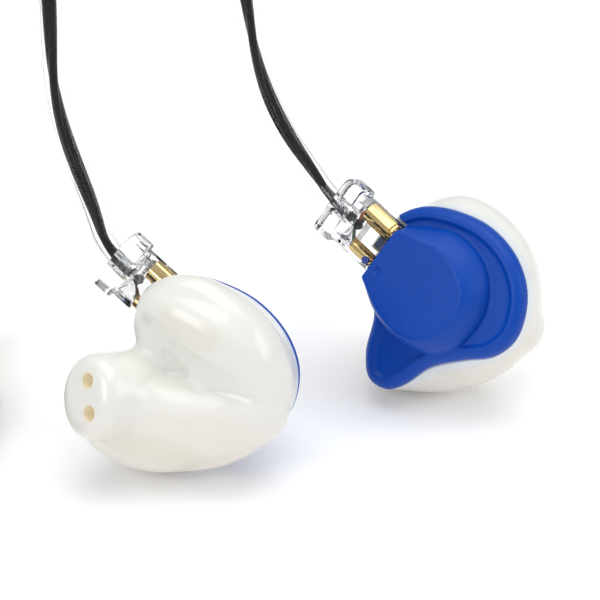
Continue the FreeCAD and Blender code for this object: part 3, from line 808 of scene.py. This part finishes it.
# The raised chamber's outline where it leaves the plate and at its flat top, point for point.
BOSS_BASE = [(-4.9, 10.0), (-3.0, 9.8), (-0.2, 9.5), (2.5, 8.8), (4.9, 7.1), (6.5, 5.0),
             (7.3, 2.6), (7.3, -0.2), (6.5, -2.6), (5.0, -4.6), (2.6, -6.6), (-0.6, -7.5),
             (-3.6, -7.1), (-6.2, -5.6), (-8.3, -3.7), (-10.0, -1.2), (-11.0, 1.6), (-12.0, 4.6),
             (-11.6, 8.6), (-8.3, 10.8)]
BOSS_FLAT = [(-5.0, 9.0), (-2.8, 8.5), (-0.6, 7.4), (1.5, 6.4), (3.1, 4.9), (4.1, 3.2),
             (4.8, 1.4), (4.8, -0.5), (4.0, -2.1), (2.7, -3.5), (0.9, -4.9), (-1.3, -5.4),
             (-3.4, -5.1), (-5.3, -4.1), (-6.9, -2.5), (-8.3, -0.4), (-9.4, 2.0), (-10.6, 4.8),
             (-10.6, 8.0), (-8.0, 9.9)]
# The chamber's wall: height, and the share of the way from its base outline to its top one.
BOSS_WALL = [(-5.5, 1.06), (-5.48, 0.97), (-5.38, 0.89), (-5.1, 0.76), (-4.6, 0.58), (-4.0, 0.4),
             (-3.3, 0.22), (-2.6, 0.08), (-2.1, 0.0), (-1.2, 0.0)]
# The shell's sections above the plate: height and outline.
BODY_LEVELS = [
    (3.0, [(-7.4, 11.6), (-3.3, 13.6), (1.5, 13.7), (6.8, 11.2), (10.9, 7.0), (12.6, 1.5),
           (11.9, -4.0), (9.4, -8.2), (4.4, -10.9), (-0.8, -12.0), (-5.4, -12.6), (-9.4, -12.4),
           (-12.6, -10.2), (-13.6, -6.4), (-12.6, -2.3), (-10.6, 1.4), (-8.9, 4.9), (-8.9, 8.4)]),
    (5.2, [(-6.9, 11.7), (-3.0, 14.2), (1.5, 14.2), (6.4, 11.6), (10.2, 7.4), (11.9, 2.0),
           (11.4, -3.6), (9.0, -8.0), (4.4, -11.2), (-0.8, -12.6), (-5.6, -13.0), (-9.8, -12.3),
           (-13.0, -10.0), (-14.4, -6.3), (-13.3, -2.3), (-9.9, 1.2), (-8.2, 4.6), (-8.4, 8.0)]),
    (7.0, [(-6.2, 11.0), (-2.8, 13.4), (1.4, 13.3), (6.0, 10.8), (9.5, 7.0), (11.1, 1.9),
           (10.6, -3.4), (8.2, -7.6), (3.9, -10.7), (-0.9, -12.1), (-5.5, -12.5), (-9.6, -11.7),
           (-12.6, -9.6), (-13.9, -6.1), (-12.9, -2.4), (-9.6, 0.9), (-7.6, 4.4), (-7.8, 7.6)]),
]
BODY_TOP = 7.6
CANAL_BASE = Vector((-6.6, -2.9, 5.0))
CANAL_AXIS = Vector((-0.39, 0.27, 0.88)).normalized()
CANAL_LENGTH = 12.2
# Share of the canal's length, half width and half height.
CANAL_RINGS = [(0.0, 6.2, 6.6), (0.45, 5.6, 6.2), (0.72, 5.2, 5.9), (0.88, 4.9, 5.6),
               (0.96, 4.3, 5.1), (1.0, 3.2, 3.9)]
BORE_R = 1.05
BORE_SPLIT = 2.1
BORE_OFFSET = Vector((1.1, 0.1, 0))
BORE_DEPTH = 2.5
BORE_UP = Vector((-0.28, 0.96, 0))
CANAL_SIDES = 48
# Grain and smoothing of the melted forms.
SHELL_GRAIN, SHELL_ROUNDS = 0.25, 70
PLATE_GRAIN, PLATE_ROUNDS = 0.12, 2
# Round forms melted into the shell: x, y, z and radius of each corner.
HELIX_RIDGE = [(-3.6, 9.6, 4.9, 3.7), (-0.6, 9.0, 5.5, 4.0), (3.6, 7.0, 5.6, 4.2),
               (7.4, 3.8, 4.9, 3.9), (8.7, 0.2, 4.2, 3.3)]
TRUNK = [(8.0, -3.6, 4.4, 4.4), (3.8, -4.8, 5.2, 5.2), (-0.6, -4.6, 6.3, 5.7),
         (-4.4, -3.8, 7.6, 5.6), (-7.4, -2.4, 9.2, 5.4)]
VALLEY = [(0.4, 2.4, 4.6, 3.3), (3.4, 1.6, 4.7, 3.4), (6.6, 0.8, 4.4, 3.3)]
LOBE = [(-10.4, -3.4, 10.0, 4.9), (-8.8, -5.6, 8.0, 5.4), (-4.6, -7.2, 6.2, 5.4),
        (1.6, -6.2, 4.8, 4.8)]
# Two grooves meet in a V under the ridge: line, reach and depth.
FOLDS = [([(-3.0, 4.2), (-0.7, 2.0)], 1.1, 0.4), ([(-4.2, 1.7), (-0.7, 2.0)], 0.9, 0.3)]


def canal():
    """The ear canal stem: ellipses that shrink towards a rounded tip."""
    side = (Vector((1, 0, 0)) - CANAL_AXIS * CANAL_AXIS.x).normalized()
    rise = CANAL_AXIS.cross(side)
    rings = []
    for along, wide, high in smooth_line(CANAL_RINGS, 5):
        centre = CANAL_BASE + CANAL_AXIS * (CANAL_LENGTH * along)
        rings.append([centre + side * (wide * math.cos(turn)) + rise * (high * math.sin(turn))
                      for turn in full_turn(CANAL_SIDES)])
    return skin(rings)


def bore_mouth(way):
    """Mouth of the upper sound bore, or of the lower one where way is -1."""
    up = (BORE_UP - CANAL_AXIS * BORE_UP.dot(CANAL_AXIS)).normalized()
    tip = CANAL_BASE + CANAL_AXIS * CANAL_LENGTH + BORE_OFFSET
    return tip + up * (BORE_SPLIT * way)


def shell_mesh():
    """The shell: its body and canal melted together, cut flat at the plate and bored."""
    plate_edge = smooth_loop(PLATE_EDGE)
    first_step = [(a[0] * 0.65 + b[0] * 0.35, a[1] * 0.65 + b[1] * 0.35)
                  for a, b in zip(PLATE_EDGE, BODY_LEVELS[0][1])]
    levels = [(-2.0, plate_edge), (0.0, plate_edge), (1.2, smooth_loop(first_step))]
    levels += [(height, smooth_loop(points)) for height, points in BODY_LEVELS]
    levels.append((BODY_TOP, inset(smooth_loop(BODY_LEVELS[-1][1]), 1.5)))
    shapes = [stacked(levels), sausage(HELIX_RIDGE), sausage(TRUNK), sausage(LOBE),
              sausage(VALLEY), canal()]
    mesh = moulded(shapes, SHELL_GRAIN, SHELL_ROUNDS)
    for line, reach, depth in FOLDS:
        press(mesh, line, reach, depth)
    below_plate = slab(Vector((0, 0, -5)), Vector((1, 0, 0)), Vector((0, 1, 0)), (60, 60, 10))
    mesh = cut_away(mesh, below_plate)
    for way in (1, -1):
        mouth = bore_mouth(way)
        mesh = cut_away(mesh, rod(mouth + CANAL_AXIS * 2, mouth - CANAL_AXIS * BORE_DEPTH, BORE_R))
        paint(mesh, 1, lambda spot: (spot - mouth).cross(CANAL_AXIS).length < BORE_R + 0.02
              and abs((spot - mouth).dot(CANAL_AXIS)) < BORE_DEPTH + 0.1)
    shade(mesh, 60)
    return mesh


def faceplate_mesh():
    """Plate with a rounded rim and the raised chamber, notched where the plug meets it."""
    edge = smooth_loop(PLATE_EDGE)
    plate = stacked([(height, inset(edge, step)) for height, step in PLATE_RIM])
    walls = []
    for height, share in BOSS_WALL:
        corners = [Vector(low).lerp(Vector(high), share) for low, high in zip(BOSS_BASE, BOSS_FLAT)]
        walls.append((height, smooth_loop(corners)))
    mesh = moulded([plate, stacked(walls)], PLATE_GRAIN, PLATE_ROUNDS)
    notch = slab(plug_point(5, -5.5), PLUG_AXIS, PLUG_CROSS, (10, 18.9, 20))
    pocket = slab(plug_point(-1.7), PLUG_AXIS, PLUG_CROSS, (7.4, 6.3, 2.2))
    spot = plug_point(-1.3, -2.6) + Vector((0, 0, -2.25))
    dent = sausage([(*spot, 0.8), (spot.x, spot.y, spot.z - 1, 0.8)])
    for shape in (notch, pocket, dent):
        mesh = cut_away(mesh, shape)
    shade(mesh, 40)
    return mesh


# Plugs --------------------------------------------------------------------------------------

# All in millimetres; each pin's entry is its side of the plug, its solder cup and its blob.
PIN_SIDE = 2.45
WELL_AT = 5.75
PINS = {"large": (1, 5.3, 0.85), "small": (-1, 4.4, 0.6)}
LEAD_LOOKS = {"right": ["solder", "wire_red"], "left": ["wire_orange", "wire_green"]}
# The housing's sections: how far out, width, thickness and corner radius.
HOUSING = [(0.12, 7.1, 2.9, 0.5), (0.2, 7.4, 3.2, 0.6), (0.4, 7.6, 3.4, 0.7), (7.1, 7.6, 3.4, 0.7),
           (7.2, 7.7, 3.5, 0.7), (7.22, 8.3, 4.3, 0.9), (7.35, 8.65, 4.65, 1.0),
           (7.6, 8.8, 4.8, 1.1), (9.8, 8.8, 4.8, 1.1), (10.05, 8.6, 4.6, 1.05),
           (10.2, 8.2, 4.2, 0.9)]
CORNER_STEPS = 6
KNOT_STEPS = 48
KNOT_SIZE = 0.24
STRAND_R = 0.3


def rounded_section(out, wide, thick, corner):
    """A rounded rectangle across the plug."""
    ring = []
    for turn, (x_way, y_way) in enumerate(((1, 1), (-1, 1), (-1, -1), (1, -1))):
        for step in range(CORNER_STEPS + 1):
            angle = math.pi / 2 * (turn + step / CORNER_STEPS)
            ring.append(plug_point(out, (wide / 2 - corner) * x_way + corner * math.cos(angle),
                                   (thick / 2 - corner) * y_way + corner * math.sin(angle)))
    return ring


def housing_mesh():
    """Clear T-shaped body with bevelled steps, hollow round the knot and at the cable entry."""
    mesh = new_mesh("housing", *skin([rounded_section(*section) for section in HOUSING]))
    mesh.flip_normals()
    well = slab(plug_point(WELL_AT), PLUG_AXIS, PLUG_CROSS, (2.9, 5.4, 2.4))
    entry = rod(plug_point(WELL_AT), plug_point(12), GUIDE_R / MM + 0.02)
    slot = slab(plug_point(0.5, 0.2), PLUG_AXIS, PLUG_CROSS, (2.9, 2.0, 1.2))
    for shape in (well, entry, slot):
        mesh = cut_away(mesh, shape)
    shade(mesh, 40)
    return mesh


def knot_mesh():
    """The cable's jacket tied round itself."""
    centre = plug_point(KNOT_AT)
    strand = []
    for step in range(KNOT_STEPS + 1):
        turn = 2 * math.pi * step / KNOT_STEPS
        spot = Vector((math.sin(turn) + 2 * math.sin(2 * turn),
                       math.cos(turn) - 2 * math.cos(2 * turn),
                       -1.3 * math.sin(3 * turn))) * KNOT_SIZE
        spot = centre + PLUG_AXIS * spot.z + PLUG_CROSS * spot.x + Vector((0, 0, spot.y))
        strand.append((*spot, STRAND_R))
    core = sausage([(*(centre - PLUG_AXIS * 0.2), 0.5), (*(centre + PLUG_AXIS * 0.2), 0.5)])
    mesh = new_mesh("knot", *joined([sausage(strand, 12), core]))
    shade(mesh)
    return mesh


def leads_mesh():
    """Two leads from the knot to the pins, each in its own material, and their solder blobs."""
    shapes = []
    materials = []
    for number, (way, cup_at, blob) in enumerate(PINS.values()):
        cup = plug_point(cup_at + 0.15, PIN_SIDE * way)
        bend = plug_point(cup_at + 0.75, 1.75 * way, 0.25)
        knot = plug_point(KNOT_AT, 0.75 * way)
        shapes.append(sausage([(*knot, 0.24), (*bend, 0.24), (*cup, 0.26)], 12))
        shapes.append(sausage([(*(cup - PLUG_AXIS * 0.3), blob),
                               (*(cup + PLUG_AXIS * 0.15), blob * 0.75)], 16))
        materials += [number, 2]
    mesh = new_mesh("leads", *joined(shapes))
    first = 0
    for (points, faces), index in zip(shapes, materials):
        for face in mesh.polygons[first:first + len(faces)]:
            face.material_index = index
        first += len(faces)
    shade(mesh)
    return mesh


def socket_mesh():
    """The socket block with its polarity tongue."""
    block = slab(plug_point(-2.72), PLUG_AXIS, PLUG_CROSS, (5.4, 6.2, 2.1))
    tongue = slab(plug_point(0.4, 0.2), PLUG_AXIS, PLUG_CROSS, (2.8, 1.7, 0.9))
    mesh = new_mesh("socket", *joined([block, tongue]))
    shade(mesh, 30)
    return mesh


def add_plugs():
    """Each plug's housing, knot and leads, which slide, and the socket that stays."""
    pieces = (("clear_housing", housing_mesh(), "plug_housing", "clear_plastic"),
              ("tied_knot", knot_mesh(), "cable_knot", "cable_black"))
    leads = leads_mesh()
    socket = socket_mesh()
    for side in SIDES:
        plug = side + "_plug"
        for name, mesh, node, look in pieces:
            ear_piece(name, mesh, side, plug, [look], node)
        ear_piece("soldered_leads", leads, side, plug, LEAD_LOOKS[side] + ["solder"], "plug_leads")
        ear_piece("socket_insert", socket, side, "root", ["key_blue"], "socket_block")


def add_earpieces():
    """Each earpiece's shell and faceplate."""
    body = shell_mesh()
    plate = faceplate_mesh()
    for side in SIDES:
        shell = ear_piece("moulded_shell", body, side, "root", ["pearl_resin", "bore_wall_painted_glow"],
                          "shell")
        cover = ear_piece("satin_faceplate", plate, side, "root", ["blue_shell_resin"], "faceplate")


# Studio ---------------------------------------------------------------------------------

SKY = (0.93, 0.96, 1.0, 1)
SKY_STRENGTH = 0.5
FLOOR_HALF = 3.0
# Each soft light's name, place, size in metres and power in watts; all face the object.
LIGHTS = (("overhead", (0.05, 0.05, 0.7), 0.7, 3.4),
          ("left_front", (-0.5, -0.5, 0.45), 0.4, 1.9),
          ("right_side", (0.6, -0.15, 0.3), 0.35, 0.8))


def add_studio():
    """A pale floor, an even sky and three soft lights."""
    scene = bpy.context.scene
    scene.view_settings.view_transform = "Standard"
    world = bpy.data.worlds.new("studio")
    scene.world = world
    world.use_nodes = True
    world.node_tree.nodes["Background"].inputs["Color"].default_value = SKY
    world.node_tree.nodes["Background"].inputs["Strength"].default_value = SKY_STRENGTH
    corners = [(FLOOR_HALF * x, FLOOR_HALF * y, 0) for x, y in ((-1, -1), (1, -1), (1, 1), (-1, 1))]
    floor = add_object("floor", new_mesh("floor", corners, [(0, 1, 2, 3)]))
    look = Look("floor", (0.92, 0.92, 0.92), Roughness=0.9, Emission_Color=(1, 1, 1, 1),
                Emission_Strength=0.08)
    look.bump(look.noise(60), 0.00001)
    floor.data.materials.append(look.material)
    for name, spot, size, power in LIGHTS:
        data = bpy.data.lights.new(name, "AREA")
        data.size = size
        data.energy = power
        light = bpy.data.objects.new(name, data)
        light.location = spot
        light.rotation_euler = (-Vector(spot)).to_track_quat("-Z", "Y").to_euler()
        scene.collection.objects.link(light)


add_camera()
add_studio()
dress_cad_nodes()
add_cables()
add_ties()
add_earpieces()
add_plugs()
